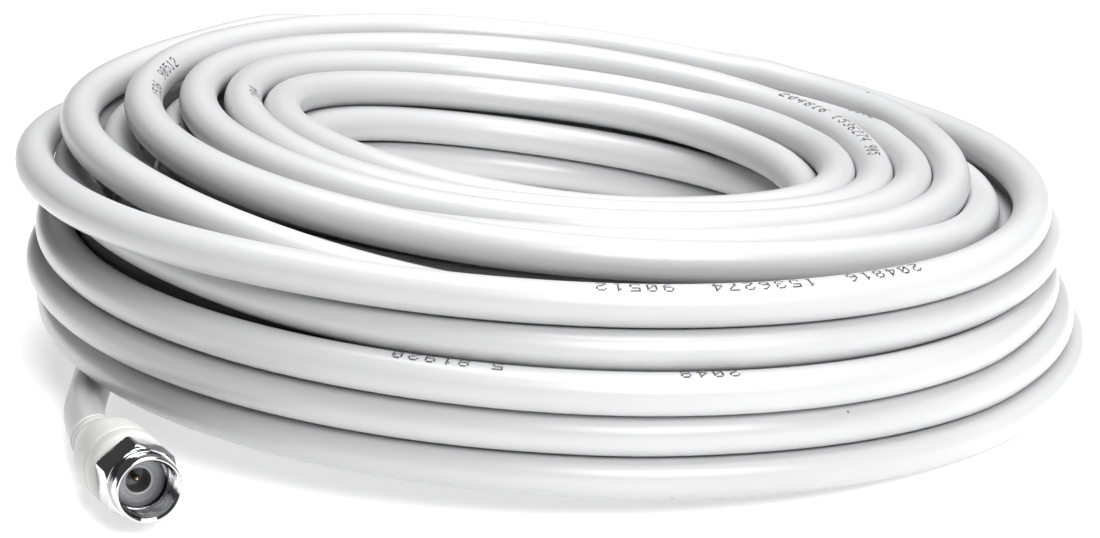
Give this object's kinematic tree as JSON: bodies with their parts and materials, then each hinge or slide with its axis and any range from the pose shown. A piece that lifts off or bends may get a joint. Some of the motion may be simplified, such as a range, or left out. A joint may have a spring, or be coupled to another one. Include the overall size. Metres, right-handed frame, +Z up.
{
  "type": "coaxial cable coil",
  "caption": "Round coil of white-jacketed coaxial cable lying flat, its two ends finished with moulded sleeves and loose hexagon screw nuts.",
  "frame": {"origin": "On the floor, under the middle of the coil's bounding box.", "axes": "+Z is up, away from the floor. The coil's own axis leans 2.4 degrees from +Z towards +X, because its -X side lies on its own cable end. The pictured connector is at -X, -Y and points to -Y."},
  "size_m": [0.1968, 0.2028, 0.0496],
  "materials": {
    "cable_jacket": "smooth semi-gloss white PVC with fine printed marks",
    "moulded_sleeve": "smooth moulded white plastic",
    "post_metal": "matt grey plated metal",
    "centre_conductor": "bare copper-clad wire",
    "nut_plating": "bright nickel plating"
  },
  "bodies": {
    "cable": {"cable_coil": "cable_jacket", "outer_cable_end": "cable_jacket", "inner_cable_end": "cable_jacket", "outer_sleeve": "moulded_sleeve", "outer_post": "post_metal", "outer_centre_pin": "centre_conductor", "inner_sleeve": "moulded_sleeve", "inner_post": "post_metal", "inner_centre_pin": "centre_conductor"},
    "outer_nut_body": {"outer_nut": "nut_plating"},
    "inner_nut_body": {"inner_nut": "nut_plating"}
  },
  "joints": [
    {"name": "outer_nut_spin", "type": "hinge", "parent": "cable", "child": "outer_nut_body", "pos_m": [-0.07413, -0.07137, 0.00585], "axis": [0.422, -0.9051, 0.0523], "continuous": true},
    {"name": "inner_nut_spin", "type": "hinge", "parent": "cable", "child": "inner_nut_body", "pos_m": [0.01168, -0.0205, 0.00585], "axis": [-0.9986, 0, 0.0523], "continuous": true}
  ]
}
